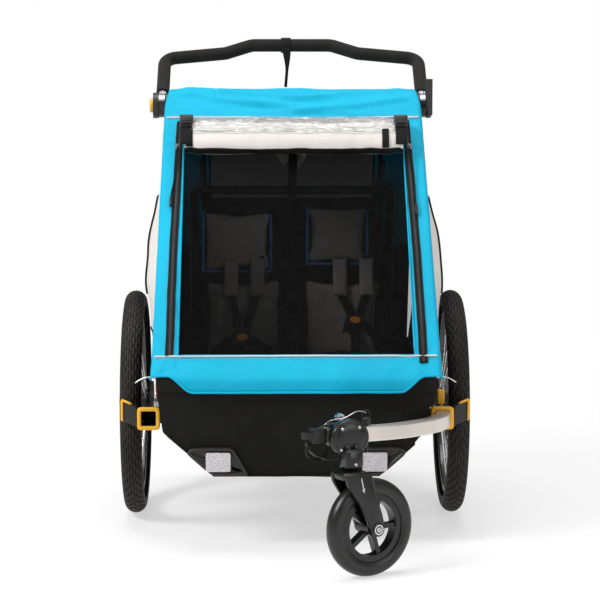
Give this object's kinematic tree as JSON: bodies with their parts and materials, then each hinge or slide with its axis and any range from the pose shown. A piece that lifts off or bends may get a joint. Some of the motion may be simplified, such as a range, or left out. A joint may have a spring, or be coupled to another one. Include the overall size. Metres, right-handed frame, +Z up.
{
  "type": "child bicycle trailer",
  "caption": "Folding child trailer for towing behind a bicycle, with a zipped fabric cover, spoked wheels, a push handle and a stroller wheel that flips on the tow bar.",
  "frame": {"origin": "on the ground under the middle of the overall box", "axes": "+Z up, the trailer faces -Y, +X is its left side, where the tow bar is fitted"},
  "size_m": [0.776, 1.2232, 1.0565],
  "materials": {
    "frame_tube": "satin",
    "pins_steel": "satin",
    "tub_fabric": "coated black weave",
    "tray": "matt",
    "black_plastic": "fine grain",
    "reflector": "prismatic",
    "yellow_plastic": "satin",
    "tow_aluminium": "satin",
    "cover_cloth": "coated turquoise weave",
    "mesh": "insect mesh",
    "clear_film": "clear film over off-white cloth",
    "side_cloth": "off-white weave",
    "seat_cloth": "padded weave",
    "strap": "webbing",
    "foam": "foam",
    "tyre": "matt",
    "rim_metal": "satin",
    "spoke_steel": "bright",
    "hub_black": "satin",
    "button_silver": "silver",
    "orange_plastic": "satin",
    "buckle_yellow": "gloss",
    "caster_black": "gloss",
    "zip_metal": "satin"
  },
  "bodies": {
    "chassis": {"lower_frame": "frame_tube", "pivot_pins": "pins_steel", "axle_sockets": "frame_tube", "wheel_axles": "pins_steel", "lower_body": "tub_fabric", "floor_tray": "tray", "toe_guards": "black_plastic", "reflectors": "reflector", "tow_bar_receivers": "black_plastic", "receiver_sleeves": "yellow_plastic", "wheel_guards": "black_plastic", "tow_bar": "tow_aluminium", "flex_connector": "black_plastic", "safety_strap": "strap", "flip_clamp": "caster_black", "brake_housings": "orange_plastic", "brake_cables": "strap", "seat_sling": "seat_cloth", "harness_buckles": "black_plastic", "harness_straps": "strap", "side_panels": "side_cloth", "rear_panel": "cover_cloth"},
    "wheel_left": {"tyre_left": "tyre", "rim_left": "rim_metal", "spokes_left": "spoke_steel", "hub_left": "hub_black"},
    "wheel_right": {"tyre_right": "tyre", "rim_right": "rim_metal", "spokes_right": "spoke_steel", "hub_right": "hub_black"},
    "release_left": {"release_button_left": "button_silver"},
    "release_right": {"release_button_right": "button_silver"},
    "main_hoop": {"main_hoop_tube": "frame_tube", "handle_pivot_cheeks": "black_plastic", "flag_socket": "black_plastic", "front_cover": "cover_cloth", "mesh_screen": "mesh", "window_roll": "clear_film"},
    "rear_hoop": {"rear_hoop_tube": "frame_tube"},
    "top_stay": {"top_stays": "frame_tube"},
    "latch": {"latch_lever": "yellow_plastic"},
    "handlebar": {"handlebar_tube": "frame_tube", "handlebar_grip": "foam", "wrist_strap": "strap"},
    "handle_button": {"handle_button": "yellow_plastic"},
    "tow_pin": {"tow_bar_pin": "yellow_plastic"},
    "hitch_pin": {"hitch_pin": "black_plastic"},
    "flip_unit": {"flip_housing": "caster_black"},
    "flip_lock_pin": {"flip_lock_pin": "pins_steel"},
    "caster_fork": {"caster_fork": "caster_black", "caster_axle": "pins_steel"},
    "caster_wheel": {"caster_tyre": "tyre", "caster_rim": "caster_black"},
    "brake_pedal": {"brake_pedal": "orange_plastic"},
    "brake_pin_left": {"brake_pin_left": "pins_steel"},
    "brake_pin_right": {"brake_pin_right": "pins_steel"},
    "buckle_left": {"buckle_button_left": "buckle_yellow"},
    "buckle_right": {"buckle_button_right": "buckle_yellow"},
    "zip_left": {"zipper_slider_left": "zip_metal"},
    "zip_right": {"zipper_slider_right": "zip_metal"}
  },
  "joints": [
    {"name": "wheel_left_spin", "type": "hinge", "parent": "chassis", "child": "wheel_left", "pos_m": [0.35, 0.09957, 0.247], "axis": [1, 0, 0], "continuous": true},
    {"name": "wheel_right_spin", "type": "hinge", "parent": "chassis", "child": "wheel_right", "pos_m": [-0.35, 0.09957, 0.247], "axis": [1, 0, 0], "continuous": true},
    {"name": "release_left_press", "type": "slide", "parent": "chassis", "child": "release_left", "axis": [-1, 0, 0], "range_m": [0, 0.0034], "stiffness_N_per_m": 300},
    {"name": "release_right_press", "type": "slide", "parent": "chassis", "child": "release_right", "axis": [1, 0, 0], "range_m": [0, 0.0034], "stiffness_N_per_m": 300},
    {"name": "frame_fold", "type": "hinge", "parent": "chassis", "child": "main_hoop", "pos_m": [0, -0.32543, 0.352], "axis": [-1, 0, 0], "range_deg": [0, 38], "deforming": ["seat_sling", "side_panels", "rear_panel", "harness_straps"]},
    {"name": "rear_hoop_fold", "type": "hinge", "parent": "chassis", "child": "rear_hoop", "pos_m": [0, 0.48457, 0.268], "axis": [1, 0, 0], "range_deg": [0, 67.5]},
    {"name": "top_stay_fold", "type": "hinge", "parent": "main_hoop", "child": "top_stay", "pos_m": [0, 0.22557, 0.892], "axis": [-1, 0, 0], "range_deg": [0, 40]},
    {"name": "latch_open", "type": "hinge", "parent": "top_stay", "child": "latch", "pos_m": [0, 0.29256, 0.76673], "axis": [-1, 0, 0], "range_deg": [0, 60]},
    {"name": "handlebar_pitch", "type": "hinge", "parent": "main_hoop", "child": "handlebar", "pos_m": [0, 0.25957, 0.901], "axis": [1, 0, 0], "range_deg": [-35, 50]},
    {"name": "handle_button_press", "type": "slide", "parent": "main_hoop", "child": "handle_button", "axis": [1, 0, 0], "range_m": [0, 0.004], "stiffness_N_per_m": 300},
    {"name": "tow_pin_lift", "type": "slide", "parent": "chassis", "child": "tow_pin", "axis": [0, 0, 1], "range_m": [0, 0.06]},
    {"name": "hitch_pin_lift", "type": "slide", "parent": "chassis", "child": "hitch_pin", "axis": [0, 0, 1], "range_m": [0, 0.06]},
    {"name": "stroller_flip", "type": "hinge", "parent": "chassis", "child": "flip_unit", "pos_m": [0.08374, -0.53119, 0.27484], "axis": [-0.3971, 0.9178, 0], "range_deg": [0, 180]},
    {"name": "flip_pin_pull", "type": "slide", "parent": "chassis", "child": "flip_lock_pin", "axis": [-0.3971, 0.9178, 0], "range_m": [0, 0.008], "stiffness_N_per_m": 300},
    {"name": "caster_swivel", "type": "hinge", "parent": "flip_unit", "child": "caster_fork", "pos_m": [0.10201, -0.57341, 0.27484], "axis": [0, 0, 1], "continuous": true},
    {"name": "caster_spin", "type": "hinge", "parent": "caster_fork", "child": "caster_wheel", "pos_m": [0.13762, -0.55115, 0.0967], "axis": [0.53, -0.848, 0], "continuous": true},
    {"name": "brake_pedal_press", "type": "hinge", "parent": "chassis", "child": "brake_pedal", "pos_m": [0, 0.55757, 0.256], "axis": [-1, 0, 0], "range_deg": [0, 25]},
    {"name": "brake_pin_left_push", "type": "slide", "parent": "chassis", "child": "brake_pin_left", "axis": [1, 0, 0], "range_m": [0, 0.0081]},
    {"name": "brake_pin_right_push", "type": "slide", "parent": "chassis", "child": "brake_pin_right", "axis": [-1, 0, 0], "range_m": [0, 0.0081]},
    {"name": "buckle_left_press", "type": "slide", "parent": "chassis", "child": "buckle_left", "axis": [0, 1, 0], "range_m": [0, 0.003], "stiffness_N_per_m": 200},
    {"name": "buckle_right_press", "type": "slide", "parent": "chassis", "child": "buckle_right", "axis": [0, 1, 0], "range_m": [0, 0.003], "stiffness_N_per_m": 200},
    {"name": "zip_left_run", "type": "slide", "parent": "main_hoop", "child": "zip_left", "axis": [0, -0.7021, -0.7121], "range_m": [0, 0.5]},
    {"name": "zip_right_run", "type": "slide", "parent": "main_hoop", "child": "zip_right", "axis": [0, -0.7021, -0.7121], "range_m": [0, 0.5]}
  ],
  "couplings": [
    {"joint": "rear_hoop_fold", "follows": "frame_fold", "ratio": 1.76},
    {"joint": "top_stay_fold", "follows": "frame_fold", "ratio": 1},
    {"joint": "brake_pin_left_push", "follows": "brake_pedal_press", "m_per_rad": 0.0183},
    {"joint": "brake_pin_right_push", "follows": "brake_pedal_press", "m_per_rad": 0.0183}
  ]
}
